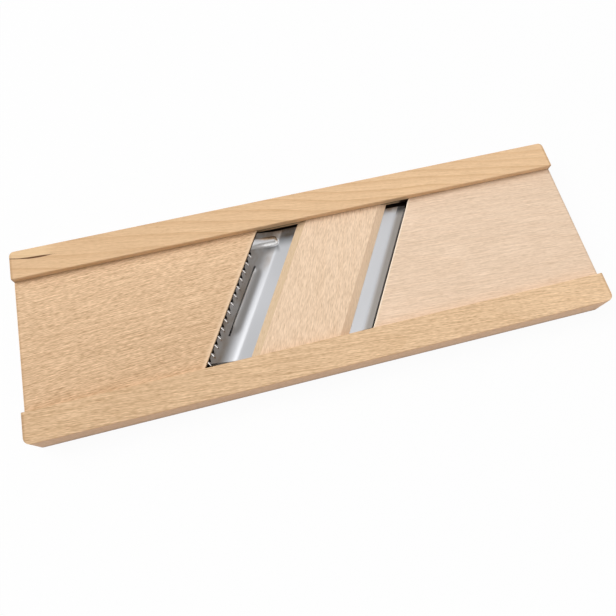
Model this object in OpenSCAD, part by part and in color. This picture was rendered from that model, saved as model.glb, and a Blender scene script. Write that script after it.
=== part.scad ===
// Cabbage cutter: a flat beech slicing board with two fixed slanted blades.
// Two grooved side rails carry three boards. Cabbage slides along the boards between the rails.
// The middle board holds a plain slicing blade in one edge and a toothed shredding blade in the other.
// The origin is at the middle of the underside, +X runs along the rails, +Y points to the far rail.

/* [Overall] */
// Length of the cutter along the rails
body_l = 440; // [380:1:520]
// Width over both rails
body_w = 147; // [130:1:190]

/* [Rails] */
// Width of each rail
rail_w = 23; // [18:0.5:28]
// Height of each rail
rail_h = 21.5; // [19:0.5:28]
// Depth of the groove in each rail's inner side
groove_depth = 7; // [5:0.5:10]
// Radius of the near rail's outer corners, seen from above
near_corner_r = 5.5; // [1:0.5:14]
// Radius of the far rail's outer corners, seen from above
far_corner_r = 4; // [1:0.5:14]
// Chamfer that eases the rails' long edges
rail_ease = 0.4; // [0.2:0.1:2]

/* [Boards] */
// Thickness of the three boards
board_t = 10; // [9:0.5:11.5]
// Depth of the boards' top faces below the rails' tops
deck_depth = 5.5; // [4:0.5:8]
// Chamfer that eases the ends and slanted edges of the left and right boards
board_ease = 0.5; // [0.2:0.1:1.5]
// Depth of the rebate that leaves a tongue along each side of a board
tongue_drop = 4; // [2:0.5:4.5]
// Gap left round a board in its groove
groove_gap = 0.1; // [0.05:0.05:0.3]
// Slant of the blades, away from square across the rails
slant = 31; // [15:1:38]
// Width of the middle board's top face, square to its edges
middle_w = 52.5; // [45:0.5:70]
// Throat from the left board to the middle board's top face
toothed_throat = 34.5; // [32:0.5:42]
// Throat from the middle board's top face to the right board
plain_throat = 22; // [18:0.2:30]
// Width of the bevels on the middle board's top edges, seen from above
bevel_run = 6; // [4:0.5:8]
// Depth of those bevels, down to where the blades come out
bevel_drop = 2.5; // [1.5:0.25:3.5]
// How far the middle board's edges lean back below the blades
undercut_run = 4; // [1:0.5:8]

/* [Plain blade] */
// Thickness of the plain blade
plain_t = 1.2; // [0.8:0.1:1.8]
// Width of the bevel ground on its top face
ground_w = 5.3; // [3:0.1:7]
// Height of its cutting edge above the boards
plain_rise = 0.5; // [0:0.1:1.5]
// Gap from its cutting edge to the right board
plain_gap = 1.5; // [0.6:0.1:3]
// Gap from its far end to the far rail, at the edge of the wood
plain_far_gap = 3.5; // [1:0.5:6]
// Angle between its far end and the far rail
plain_far_trim = 10; // [0:1:30]
// Gap from its mitred end to the near rail
plain_near_gap = 1.5; // [0.5:0.5:5]

/* [Toothed blade] */
// Thickness of the pressed sheet
sheet_t = 0.8; // [0.6:0.1:1.2]
// Width of the flat strip beside the middle board
flange_w = 9; // [7:0.1:10]
// Width of the hollow curve beside the flat strip
curve_w = 10; // [6:0.1:10.5]
// Slope of the sheet where it leaves the flat strip, downwards
dip_slope = 0.16; // [0:0.01:0.2]
// Height of the toothed edge above the boards
toothed_rise = 0.4; // [0:0.1:1]
// Gap from the toothed edge to the left board
toothed_gap = 0.8; // [0.4:0.1:2]
// Width of the strip between the slot and the toothed edge
strip_w = 6.5; // [5:0.1:8]
// Width of the shredding slot
slot_w = 1.4; // [0.8:0.1:2]
// Length of the shredding slot
slot_l = 59.5; // [40:0.5:75]
// Height of the lip pressed up beside the slot
lip_rise = 1.6; // [0.8:0.1:2.2]
// Gap from the sheet's far end to the far rail
sheet_far_gap = 2.5; // [1:0.5:5]
// Gap from the sheet's near end to the near rail, at the edge of the wood
sheet_near_gap = 1.2; // [0.6:0.1:4]
// Angle between its near end and the near rail
near_trim = 5; // [0:1:10]
// Distance between teeth
tooth_pitch = 6.9; // [6:0.1:10]
// Distance from the far end of the edge to the first tooth
tooth_start = 19.9; // [16:0.1:24]
// Length of a tooth
tooth_l = 4; // [2.5:0.1:5]
// Height of a tooth
tooth_h = 2.2; // [1:0.1:3]
// Width of the notch beside a tooth
notch_w = 3; // [1.5:0.1:4]
// Depth of the notch beside a tooth
notch_d = 2; // [1:0.1:3]
// Radius of the stiffening bead
bead_r = 2.4; // [1.6:0.1:3]
// Height of the bead above the sheet
bead_h = 1.1; // [0.6:0.1:1.5]
// Distance from the far end of the edge to the bead
bead_start = 10.2; // [4:0.1:11]
// Distance from the flat strip to the bead's round end
bead_end = 4; // [0:0.5:6]

/* [Fixings] */
// Distance from the middle board's underside edges to the blade pins
pin_edge = 3.5; // [3:0.5:6]
// Distance from the pins to the back of a blade, in its kerf
pin_back = 3.5; // [2.5:0.5:6]
// Gap left round a blade in its kerf
kerf_gap = 0.1; // [0.05:0.05:0.2]
// Diameter of the brads and blade pins
pin_d = 2; // [1.5:0.1:2.4]
// Diameter of their heads
head_d = 4; // [3:0.1:5]
// Thickness of their heads
head_t = 0.8; // [0.5:0.1:1.2]
// Depth that the heads are set into the wood
head_set = 0.4; // [0.2:0.1:0.8]
// Gap left round a brad or pin
pin_gap = 0.05; // [0.02:0.01:0.15]
// Length of a brad inside a board
brad_bite = 4; // [2.5:0.5:4.5]
// Distance from a board's end to its brad
brad_inset = 25; // [12:1:35]
// Distance from the middle board's middle to each of its brads, along the rail
brad_spread = 14; // [8:1:18]
// Distance between the pins of a blade
pin_pitch = 36; // [24:1:40]
// Length of a pin above its blade
pin_over = 0.8; // [0.4:0.1:1]

/* [Hidden] */
$fn = 48;
// More than any cut needs to pass through
through = 400;
// How far a drilled hole or a notch starts outside the face that it cuts
cut_lead = 1;
// Overlap that joins the pressed parts of the sheet into one piece
weld = 0.3;
// Steps in the sheet's curve
curve_steps = 12;
// Flat left on the ground edge
edge_land = 0.1;

// Heights above the table
deck_z = rail_h - deck_depth;
board_z = deck_z - board_t;
tongue_z = deck_z - tongue_drop;
// Half the clear width between the rails, and half the boards' widths at their shoulders and tongues
inner = body_w / 2 - rail_w;
shoulder = inner - groove_gap;
tongue = inner + groove_depth - groove_gap;
// Line of the brads, in the middle of the tongue
brad_y = inner + groove_depth / 2;

// Distances across the blades, measured from the middle of the opening
open_w = toothed_throat + middle_w + plain_throat;
middle_left = toothed_throat - open_w / 2;
middle_right = middle_left + middle_w;
plain_foot = middle_right + bevel_run;
toothed_foot = middle_left - bevel_run;
// How far the pins lie in from the bevels' feet, and how deep the kerfs go
pin_in = undercut_run + pin_edge;
kerf_in = pin_in + pin_back;

// Plain blade: its reach from the wood, and its tilt from the foot up to the cutting edge
plain_reach = plain_throat - bevel_run - plain_gap;
plain_tilt = atan((bevel_drop + plain_rise + plain_t) / plain_reach);
plain_len = plain_reach / cos(plain_tilt);
plain_trim_x = rail_x(plain_foot, inner - plain_far_gap);

// Toothed blade: its reach, and the slope that brings its edge to height
toothed_reach = toothed_throat - bevel_run - toothed_gap;
ramp_w = toothed_reach - flange_w - curve_w;
ramp_slope = (bevel_drop + toothed_rise + dip_slope * curve_w / 2) / (curve_w / 2 + ramp_w);
slot_left = toothed_reach - strip_w;
slot_right = slot_left - slot_w;
lip_start = flange_w + curve_w / 3;
edge_u = toothed_foot - toothed_reach;
edge_far = along(edge_u, inner - sheet_far_gap);
trim_x = rail_x(toothed_foot, sheet_near_gap - inner);
edge_near = along(edge_u, trim_y(rail_x(edge_u, sheet_near_gap - inner)));
// Middle of the slot, half way between the rails
slot_mid = along(edge_u, 0);
// Least distance from the last tooth to the near end of the edge
tooth_end = 0.5;
tooth_count = floor((edge_far - edge_near - tooth_start - tooth_end) / tooth_pitch) + 1;
// Turn of the teeth, away from square across the edge
tooth_turn = 30;

// Place along a slanted line u across from the middle, where it reaches y
function along(u, y) = (y + u * sin(slant)) / cos(slant);
// X of a slanted line u across from the middle, at y
function rail_x(u, y) = (u + y * sin(slant)) / cos(slant);
// Far end of the plain blade, trimmed at an angle to the rail
function plain_far_y(x) = inner - plain_far_gap - (x - plain_trim_x) * tan(plain_far_trim);
// Near end of the sheet, trimmed at an angle to the rail
function trim_y(x) = sheet_near_gap - inner + (trim_x - x) * tan(near_trim);

// Top of the sheet above the deck, at a distance out from the bevel's foot
function curve_z(t) = -dip_slope * t + (ramp_slope + dip_slope) * t * t / (2 * curve_w);
function sheet_z(a) =
    a <= flange_w ? -bevel_drop :
    a <= flange_w + curve_w ? -bevel_drop + curve_z(a - flange_w) :
    -bevel_drop + curve_z(curve_w) + ramp_slope * (a - flange_w - curve_w);
// Extra height of the lip beside the slot
function lip_z(a) = lip_rise * pow(max(0, (a - lip_start) / (slot_right - lip_start)), 2);

// Distances out from the foot at which the sheet's section has points
curve_a = [for (i = [0 : curve_steps]) flange_w + curve_w * i / curve_steps];
sheet_a = concat([-kerf_in], curve_a, [toothed_reach]);
lip_a = [for (i = [0 : curve_steps]) lip_start - weld + (slot_right - lip_start + weld) * i / curve_steps];

// Turns what is drawn square to the blades to lie along the slant, at the height of the boards
module on_slant() {
    translate([0, 0, deck_z]) rotate([0, 0, -slant]) children();
}

// Draws a section of across and up distances out along the blades
module run_along(from, to) {
    translate([0, to, 0]) rotate([90, 0, 0]) linear_extrude(height = to - from) children();
}

// Room between two distances from the rails' middle line
module between_y(from, to) {
    translate([-through, from, -through]) cube([2 * through, to - from, 2 * through]);
}

// Room of the boards between the rails, with a tongue in each groove
module board_room() {
    between_y(-shoulder, shoulder);
    intersection() {
        between_y(-tongue, tongue);
        translate([-through, -through, tongue_z - through]) cube([2 * through, 2 * through, through]);
    }
}

// Section of the sheet between the points at distances a, with the lip's height times lift
module sheet_section(a, lift, up, down) {
    top = [for (d = a) [toothed_foot - d, sheet_z(d) + lift * lip_z(d) + up]];
    low = [for (i = [len(a) - 1 : -1 : 0]) [toothed_foot - a[i], sheet_z(a[i]) + lift * lip_z(a[i]) - down]];
    polygon(concat(top, low));
}

// Rail beside y = 0, with its inner side along y = rail_w
module rail(corner_r) {
    difference() {
        intersection() {
            translate([-body_l / 2, 0, 0]) rotate([90, 0, 90]) linear_extrude(height = body_l)
                polygon([[rail_ease, 0], [rail_w - rail_ease, 0], [rail_w, rail_ease],
                         [rail_w, rail_h - rail_ease], [rail_w - rail_ease, rail_h],
                         [rail_ease, rail_h], [0, rail_h - rail_ease], [0, rail_ease]]);
            rail_plan(corner_r);
        }
        translate([-through, rail_w - groove_depth, board_z - groove_gap])
            cube([2 * through, groove_depth + through, tongue_z - board_z + 2 * groove_gap]);
    }
}

// Outline of a rail from above, with its outer corners rounded
module rail_plan(corner_r) {
    linear_extrude(height = rail_h) union() {
        translate([-body_l / 2, corner_r]) square([body_l, rail_w - corner_r]);
        translate([-body_l / 2 + corner_r, 0]) square([body_l - 2 * corner_r, rail_w]);
        for (side = [-1, 1]) translate([side * (body_l / 2 - corner_r), corner_r]) circle(r = corner_r);
    }
}

// Places of the brads along a rail whose brads lie at y
function brad_xs(y) = [
    -body_l / 2 + brad_inset,
    rail_x(-open_w / 2, y) - brad_inset,
    rail_x((middle_left + middle_right) / 2, y) - brad_spread,
    rail_x((middle_left + middle_right) / 2, y) + brad_spread,
    rail_x(open_w / 2, y) + brad_inset,
    body_l / 2 - brad_inset
];

// Brads of the rail at y, each larger than its own size by grow
module brads_at(y, grow) {
    for (x = brad_xs(y)) translate([x, y, 0]) pin_up(0, board_z + brad_bite, grow);
}

// Pin from a face at height low up to height tip, with its head set into the face
module pin_up(low, tip, grow) {
    head_z = grow > 0 ? low - cut_lead : low + head_set;
    translate([0, 0, head_z]) cylinder(d = head_d + 2 * grow, h = low + head_set + head_t + grow - head_z);
    translate([0, 0, low + head_set]) cylinder(d = pin_d + 2 * grow, h = tip + grow - low - head_set);
}

// Places of a blade's pins: how far across, and the height of the blade's top there
plain_pin = [plain_foot - pin_in, -bevel_drop - pin_in * tan(plain_tilt)];
toothed_pin = [toothed_foot + pin_in, -bevel_drop];

// Pins of one blade, each larger than its own size by grow
module pins_at(place, grow) {
    for (k = [-1 : 1])
        on_slant() translate([place[0], place[0] * tan(slant) + k * pin_pitch, 0])
            pin_up(-board_t, place[1] + pin_over, grow);
}

// Section of a board below the deck, with its edges eased
module eased_section(left, right) {
    polygon([[left, -board_ease], [left + board_ease, 0], [right - board_ease, 0], [right, -board_ease],
             [right, board_ease - board_t], [right - board_ease, -board_t],
             [left + board_ease, -board_t], [left, board_ease - board_t]]);
}

// Board at the left end, with one slanted edge
module end_board() {
    intersection() {
        board_room();
        translate([0, 0, deck_z]) run_along(-through, through) eased_section(-body_l / 2, through);
        on_slant() run_along(-through, through) eased_section(-through, -open_w / 2);
    }
}

// Plain blade's section, grown by grow all round, with its top at the bevel's foot
module plain_section(grow, reach) {
    translate([plain_foot, -bevel_drop]) rotate(plain_tilt)
        polygon(grow > 0 ?
            [[-kerf_in - grow, -plain_t - grow], [reach, -plain_t - grow],
             [reach, grow], [-kerf_in - grow, grow]] :
            [[-kerf_in, -plain_t], [reach, -plain_t], [reach, edge_land - plain_t],
             [reach - ground_w, 0], [-kerf_in, 0]]);
}

// Room that the plain blade keeps to between the rails
module plain_room() {
    near = plain_near_gap - inner;
    far = inner - plain_far_gap;
    linear_extrude(height = through)
        polygon([[-body_l / 2, near], [body_l / 2, near], [body_l / 2, plain_far_y(body_l / 2)],
                 [plain_trim_x, far], [-body_l / 2, far]]);
}

// Room that the toothed sheet keeps to between the rails
module sheet_room() {
    near = sheet_near_gap - inner;
    far = inner - sheet_far_gap;
    linear_extrude(height = through)
        polygon([[-body_l / 2, trim_y(-body_l / 2)], [trim_x, near], [body_l / 2, near], [body_l / 2, far],
                 [-body_l / 2, far]]);
}

// One tooth, standing on the toothed edge and turned across it
module tooth() {
    fall = ramp_slope * tooth_l * cos(tooth_turn);
    rotate([0, 0, -tooth_turn]) run_along(-sheet_t / 2, sheet_t / 2)
        polygon([[0, -sheet_t / 2], [tooth_l, -fall - sheet_t / 2], [tooth_l, -fall], [0, tooth_h]]);
}

// Notch in the toothed edge, beside a tooth
module notch() {
    translate([0, 0, -through / 2]) linear_extrude(height = through)
        polygon([[-cut_lead, sheet_t], [notch_d, sheet_t], [-cut_lead, sheet_t + notch_w]]);
}

// Stiffening bead that crosses the curve, parallel to the rails
module bead() {
    low = toothed_rise - bead_r + bead_h;
    high = sheet_z(flange_w + bead_end) - bead_r + bead_h;
    run = (toothed_reach - flange_w - bead_end) / cos(slant);
    translate([edge_u, edge_far - bead_start, low]) rotate([0, 0, slant])
        rotate([0, 90 + atan((low - high) / run), 0]) {
            cylinder(r = bead_r, h = run);
            translate([0, 0, run]) sphere(r = bead_r);
        }
}

module near_rail() {
    color("burlywood") difference() {
        translate([0, -body_w / 2, 0]) rail(near_corner_r);
        brads_at(-brad_y, pin_gap);
    }
}

module far_rail() {
    color("burlywood") difference() {
        rotate([0, 0, 180]) translate([0, -body_w / 2, 0]) rail(far_corner_r);
        brads_at(brad_y, pin_gap);
    }
}

module left_board() {
    color("wheat") difference() {
        end_board();
        for (side = [-1, 1]) brads_at(side * brad_y, pin_gap);
    }
}

module right_board() {
    color("bisque") difference() {
        rotate([0, 0, 180]) end_board();
        for (side = [-1, 1]) brads_at(side * brad_y, pin_gap);
    }
}

// Saw kerfs for the backs of both blades
module kerfs() {
    on_slant() run_along(-through, through) plain_section(kerf_gap, plain_len);
    on_slant() run_along(-through, through)
        translate([toothed_foot - bevel_run, -bevel_drop - sheet_t - kerf_gap])
            square([bevel_run + kerf_in + kerf_gap, sheet_t + 2 * kerf_gap]);
}

module middle_board() {
    color("bisque") difference() {
        intersection() {
            on_slant() run_along(-through, through)
                polygon([[middle_left, 0], [middle_right, 0], [plain_foot, -bevel_drop],
                         [plain_foot - undercut_run, -board_t], [toothed_foot + undercut_run, -board_t],
                         [toothed_foot, -bevel_drop]]);
            board_room();
        }
        intersection() {
            kerfs();
            between_y(-shoulder, shoulder);
        }
        pins_at(plain_pin, pin_gap);
        pins_at(toothed_pin, pin_gap);
        for (side = [-1, 1]) brads_at(side * brad_y, pin_gap);
    }
}

module plain_blade() {
    color("silver") difference() {
        intersection() {
            on_slant() run_along(-through, through) plain_section(0, plain_len);
            plain_room();
        }
        pins_at(plain_pin, pin_gap);
    }
}

module toothed_blade() {
    slot_low = slot_mid - slot_l / 2;
    slot_high = slot_mid + slot_l / 2;
    color("lightsteelblue") difference() {
        intersection() {
            sheet_room();
            on_slant() union() {
                difference() {
                    run_along(-through, through) sheet_section(sheet_a, 0, 0, sheet_t);
                    translate([toothed_foot - slot_left, slot_low, -through / 2])
                        cube([slot_left - lip_start, slot_l, through]);
                    for (i = [0 : tooth_count - 1])
                        translate([edge_u, edge_far - tooth_start - i * tooth_pitch, 0]) notch();
                }
                run_along(slot_low, slot_high) sheet_section(lip_a, 1, 0, sheet_t);
                for (i = [0 : tooth_count - 1])
                    translate([edge_u, edge_far - tooth_start - i * tooth_pitch, toothed_rise]) tooth();
                intersection() {
                    bead();
                    run_along(-through, through) sheet_section(sheet_a, 0, bead_r, sheet_t / 2);
                }
            }
        }
        pins_at(toothed_pin, pin_gap);
    }
}

module near_rail_brads() {
    color("dimgray") brads_at(-brad_y, 0);
}

module far_rail_brads() {
    color("dimgray") brads_at(brad_y, 0);
}

module plain_blade_pins() {
    color("dimgray") pins_at(plain_pin, 0);
}

module toothed_blade_pins() {
    color("dimgray") pins_at(toothed_pin, 0);
}

near_rail();
far_rail();
left_board();
middle_board();
right_board();
plain_blade();
toothed_blade();
near_rail_brads();
far_rail_brads();
plain_blade_pins();
toothed_blade_pins();
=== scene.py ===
# %% [markdown]
# # A beech cabbage cutter
# The cutter is a flat tray of beech: two grooved rails hold three boards, and two slanted steel blades look up
# through the throats between them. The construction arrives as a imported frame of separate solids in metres.
# This lesson adds what the solids cannot say: the figure of the wood, the finish of the steel, and the softly
# pressed shape of the toothed blade. Everything stays where the frame puts it.

import math

import bmesh
import bpy
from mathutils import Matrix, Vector


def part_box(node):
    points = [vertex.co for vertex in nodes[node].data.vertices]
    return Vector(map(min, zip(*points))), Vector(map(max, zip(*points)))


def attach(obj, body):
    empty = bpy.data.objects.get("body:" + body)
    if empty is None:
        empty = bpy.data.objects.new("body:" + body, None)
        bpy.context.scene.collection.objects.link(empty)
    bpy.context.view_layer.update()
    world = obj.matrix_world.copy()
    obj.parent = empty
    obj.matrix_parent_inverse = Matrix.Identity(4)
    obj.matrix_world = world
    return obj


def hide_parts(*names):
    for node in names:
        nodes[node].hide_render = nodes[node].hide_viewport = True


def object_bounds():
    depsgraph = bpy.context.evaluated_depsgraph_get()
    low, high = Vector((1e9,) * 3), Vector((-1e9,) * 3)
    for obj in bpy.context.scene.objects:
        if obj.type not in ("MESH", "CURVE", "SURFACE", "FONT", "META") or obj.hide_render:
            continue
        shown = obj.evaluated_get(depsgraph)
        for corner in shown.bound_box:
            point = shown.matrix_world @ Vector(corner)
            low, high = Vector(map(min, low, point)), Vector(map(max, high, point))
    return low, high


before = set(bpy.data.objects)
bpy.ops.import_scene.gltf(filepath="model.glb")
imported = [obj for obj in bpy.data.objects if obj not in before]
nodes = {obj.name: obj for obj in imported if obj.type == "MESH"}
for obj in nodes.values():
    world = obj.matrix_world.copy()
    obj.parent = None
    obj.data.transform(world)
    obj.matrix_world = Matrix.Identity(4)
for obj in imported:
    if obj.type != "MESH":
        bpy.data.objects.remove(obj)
CAD_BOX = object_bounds()
MM = 0.001
print("frame:", ", ".join(sorted(nodes)))
print("size in mm:", [round(side / MM, 1) for side in CAD_BOX[1] - CAD_BOX[0]])

# %% [markdown]
# ## The camera
# A photograph fixes its camera: where the long edges meet at their vanishing points gives the lens, and the
# outline gives the place. One could nudge a camera by eye, but a place and three turns that were worked out
# from the edges put every corner within a few pixels. The small shift says that the picture was cropped a
# little off the middle of the lens.

# %% Place the camera
CAMERA_AT = Vector((-0.05275, -0.15580, 0.41956))
CAMERA_TURNS = (20.975, -2.202, -14.583)
SENSOR = 36.0
LENS = 32.95
SHIFT = (-0.0162, -0.0292)
CLIP_START = 0.01

scene = bpy.context.scene
camera_data = bpy.data.cameras.new("camera")
camera_data.sensor_width = SENSOR
camera_data.lens = LENS
camera_data.shift_x, camera_data.shift_y = SHIFT
camera_data.clip_start = CLIP_START
camera = bpy.data.objects.new("camera", camera_data)
camera.location = CAMERA_AT
camera.rotation_euler = [math.radians(turn) for turn in CAMERA_TURNS]
scene.collection.objects.link(camera)
scene.camera = camera
scene.view_settings.view_transform = "Standard"
print("camera looks along", [round(c, 3) for c in camera.rotation_euler.to_matrix() @ Vector((0, 0, -1))])

# %% [markdown]
# ## Small helpers for nodes
# A material is a graph, and writing it node by node hides the idea behind the wiring. These helpers add one
# node, give each input a number or a link, and return the outputs, so that the lines below read like formulas.
# `ease` is the one used most: it turns a measure into a mask with soft edges. Where a name below holds four
# numbers for it, they are the two limits of the fade and the values that it has at them.

# %% Node helpers
def feed(tree, socket, value):
    if isinstance(value, bpy.types.NodeSocket):
        tree.links.new(value, socket)
    else:
        socket.default_value = value


def put(tree, kind, inputs=None, **settings):
    made = tree.nodes.new(kind)
    for name, value in settings.items():
        setattr(made, name, value)
    for key, value in (inputs or {}).items():
        feed(tree, made.inputs[key], value)
    return made.outputs


def calc(tree, operation, *values, clamp=False):
    return put(tree, "ShaderNodeMath", dict(enumerate(values)), operation=operation, use_clamp=clamp)[0]


def product(tree, first, *others):
    for other in others:
        first = calc(tree, "MULTIPLY", first, other)
    return first


def largest(tree, first, *others):
    for other in others:
        first = calc(tree, "MAXIMUM", first, other)
    return first


def ease(tree, value, low, high, to_low=0.0, to_high=1.0):
    limits = {"Value": value, "From Min": low, "From Max": high, "To Min": to_low, "To Max": to_high}
    return put(tree, "ShaderNodeMapRange", limits, interpolation_type="SMOOTHSTEP")["Result"]


print("helpers:", ", ".join(helper.__name__ for helper in (feed, put, calc, product, largest, ease)))

# %% [markdown]
# ## The white of the stage
# The photograph is a cut-out on white. A floor bright enough to turn white by lamps alone would bleach the wood,
# so this one is ordinary pale grey to the light, and white only to the camera and to reflections. It still takes
# a faint shadow, and seen from below it is clear. The patch under the cutter stays grey, since no white would
# reach it there.

# %% Stage material
FLOOR_COLOUR = (0.82, 0.82, 0.82, 1)
WHITE_SHARE = 0.95
UNDER_MARGIN = 3.0 * MM
SEEN_RAYS = ("Is Camera Ray", "Is Glossy Ray", "Is Transmission Ray")


def spot_of(tree):
    return put(tree, "ShaderNodeTexCoord")["Object"]


def axes_of(tree, vector):
    return put(tree, "ShaderNodeSeparateXYZ", {0: vector})


def new_material(name):
    material = bpy.data.materials.new(name)
    material.use_nodes = True
    material.node_tree.nodes.clear()
    return material, material.node_tree


def under_cutter(tree):
    half, spot = (CAD_BOX[1] - CAD_BOX[0]) / 2, axes_of(tree, spot_of(tree))
    sides = ((spot["X"], half.x), (spot["Y"], half.y))
    return product(tree, *(calc(tree, "LESS_THAN", calc(tree, "ABSOLUTE", place), reach - UNDER_MARGIN)
                           for place, reach in sides))


def stage_white():
    material, tree = new_material("stage_white")
    paths = put(tree, "ShaderNodeLightPath")
    seen = largest(tree, *(paths[kind] for kind in SEEN_RAYS))
    seen = calc(tree, "SUBTRACT", seen, under_cutter(tree), clamp=True)
    matt = put(tree, "ShaderNodeBsdfDiffuse", {"Color": FLOOR_COLOUR})[0]
    glow = put(tree, "ShaderNodeEmission", {"Strength": 1.0})[0]
    top = put(tree, "ShaderNodeMixShader", {0: product(tree, seen, WHITE_SHARE), 1: matt, 2: glow})[0]
    clear = put(tree, "ShaderNodeBsdfTransparent")[0]
    below = put(tree, "ShaderNodeNewGeometry")["Backfacing"]
    both = put(tree, "ShaderNodeMixShader", {0: below, 1: top, 2: clear})[0]
    put(tree, "ShaderNodeOutputMaterial", {"Surface": both})
    return material


white = stage_white()
print("stage material:", len(white.node_tree.nodes), "nodes")

# %% [markdown]
# ## Floor and wall
# The cutter lies on a plain floor, and a low round wall carries the white up behind it in every view. A huge
# dome would do as well, but it would shut out the light of the world. The wall is open above, throws no shadow
# and gives no light back.

# %% Floor and wall
STAGE_RADIUS, STAGE_SIDES = 3.0, 96
WALL_HEIGHT = 1.8
FLOOR_GAP = 0.2 * MM


def build_floor(shape):
    bmesh.ops.create_circle(shape, cap_ends=True, radius=STAGE_RADIUS, segments=STAGE_SIDES)
    bmesh.ops.translate(shape, verts=shape.verts, vec=(0, 0, -FLOOR_GAP))


def build_wall(shape):
    ring = bmesh.ops.create_circle(shape, radius=STAGE_RADIUS, segments=STAGE_SIDES)["verts"]
    edges = list({edge for vert in ring for edge in vert.link_edges})
    raised = bmesh.ops.extrude_edge_only(shape, edges=edges)["geom"]
    upper = [item for item in raised if isinstance(item, bmesh.types.BMVert)]
    bmesh.ops.translate(shape, verts=upper, vec=(0, 0, WALL_HEIGHT))
    bmesh.ops.recalc_face_normals(shape, faces=shape.faces)
    bmesh.ops.reverse_faces(shape, faces=shape.faces)


def stage_piece(name, build):
    mesh = bpy.data.meshes.new(name)
    shape = bmesh.new()
    build(shape)
    shape.to_mesh(mesh)
    shape.free()
    mesh.materials.append(white)
    piece = bpy.data.objects.new(name, mesh)
    scene.collection.objects.link(piece)
    return piece


stage_piece("floor", build_floor)
wall = stage_piece("wall", build_wall)
wall.visible_diffuse = False
wall.visible_shadow = False
print("stage: floor and wall,", STAGE_RADIUS, "m round the cutter")

# %% [markdown]
# ## Lamps for the wood
# The tops of the cutter are bright and the sides towards the camera dimmer, as under one large soft box at the
# back left and a weak one at the front right. Sun lamps would cut hard shadows. Both boxes are hidden from
# reflections, because steel answers to what it mirrors and not to where the light comes from.

# %% Soft boxes
AIM = Vector((0, 0, 0.01))
SOFT_BOXES = {
    "left_box": {"towards": (-0.66, 0.36, 0.66), "distance": 4.0, "side": 2.4, "watts": 105.0},
    "right_box": {"towards": (0.58, -0.66, 0.48), "distance": 1.6, "side": 1.0, "watts": 2.1},
}


def soft_box(name, towards, distance, side, watts):
    data = bpy.data.lights.new(name, "AREA")
    data.shape, data.size, data.energy = "SQUARE", side, watts
    lamp = bpy.data.objects.new(name, data)
    out = Vector(towards).normalized()
    lamp.location = AIM + out * distance
    lamp.rotation_euler = out.to_track_quat("Z", "Y").to_euler()
    lamp.visible_glossy = False
    scene.collection.objects.link(lamp)


for name, box in SOFT_BOXES.items():
    soft_box(name, **box)
print("lamps:", ", ".join(SOFT_BOXES))

# %% [markdown]
# ## A sky for the steel
# The blades in the photograph have a broad bright sheen that falls off to one side. Mirrored lamps would show as
# sharp squares. A dim world with a dark side and one bright soft patch, as in a room with one large window,
# gives that sheen and fills the shadows of the wood. Each patch is a direction with a soft reach around it.

# %% Sky
SKY = (0.42, 0.42, 0.43, 1)
DARK_SIDE, BRIGHT_SIDE = (0.80, -0.20, 0.57), (-0.345, 0.30, 0.889)
SKY_PATCHES = (
    {"side": DARK_SIDE, "reach": (0.30, 0.90), "colour": (0.29, 0.27, 0.25, 1)},
    {"side": BRIGHT_SIDE, "reach": (0.78, 0.885), "colour": (0.86, 0.865, 0.885, 1)},
    {"side": BRIGHT_SIDE, "reach": (0.955, 0.997), "colour": (2.7, 2.7, 2.74, 1)},
)


def dot(tree, first, second):
    return put(tree, "ShaderNodeVectorMath", {0: first, 1: second}, operation="DOT_PRODUCT")["Value"]


def blend_colour(tree, amount, first, second, way="MIX"):
    mix = tree.nodes.new("ShaderNodeMix")
    mix.data_type, mix.blend_type = "RGBA", way
    sockets = {socket.name: socket for socket in mix.inputs if socket.enabled}
    for name, value in (("Factor", amount), ("A", first), ("B", second)):
        feed(tree, sockets[name], value)
    return next(socket for socket in mix.outputs if socket.enabled)


def studio_sky():
    world = bpy.data.worlds.new("studio")
    world.use_nodes = True
    tree = world.node_tree
    tree.nodes.clear()
    direction = put(tree, "ShaderNodeTexCoord")["Generated"]
    colour = SKY
    for patch in SKY_PATCHES:
        towards = dot(tree, direction, list(Vector(patch["side"]).normalized()))
        colour = blend_colour(tree, ease(tree, towards, *patch["reach"]), colour, patch["colour"])
    glow = put(tree, "ShaderNodeBackground", {"Color": colour, "Strength": 1.0})[0]
    put(tree, "ShaderNodeOutputWorld", {"Surface": glow})
    return world


scene.world = studio_sky()
print("sky:", len(SKY_PATCHES), "patches")

# %% [markdown]
# ## The marks of beech
# Beech is pale and even, with faint growth rings and one sure sign: thousands of short dark dashes, the cut
# ends of its rays, that lie along the grain. A painted picture would repeat and stretch. Solid textures in
# millimetres run right through a board, so a face, an edge and an end belong to the same piece of wood. Every
# mark is drawn in a place with X along the grain: rings about a heart below the board, flecks from the cells of
# a Voronoi texture, and fine lines from stretched noise.

# %% Rings, flecks and lines
NOISE_MEAN = 0.5
WANDER_SIZES, WANDER = (150.0, 34.0, 34.0), 18.0
HEART_DEPTH = -34.0
RING_LEAN, RING_POWER = 0.035, 4.0
TONE_SIZES = (120.0, 26.0, 26.0)
FLECK_SIZES = (4.2, 0.8, 0.8)
FLECK_CORE, FLECK_RIM, FLECK_SHARE = 0.15, 0.50, 0.10
LINE_STEP, LINE_SHARE = 1.6, 0.35


def scaled(tree, vector, sizes):
    factors = [1 / size for size in sizes]
    return put(tree, "ShaderNodeVectorMath", {0: vector, 1: factors}, operation="MULTIPLY")[0]


def noise(tree, vector, sizes, detail=2.0):
    inputs = {"Vector": scaled(tree, vector, sizes), "Scale": 1.0, "Detail": detail}
    return put(tree, "ShaderNodeTexNoise", inputs)[0]


def hypotenuse(tree, first, second):
    return calc(tree, "SQRT", calc(tree, "MULTIPLY_ADD", first, first, product(tree, second, second)))


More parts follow.
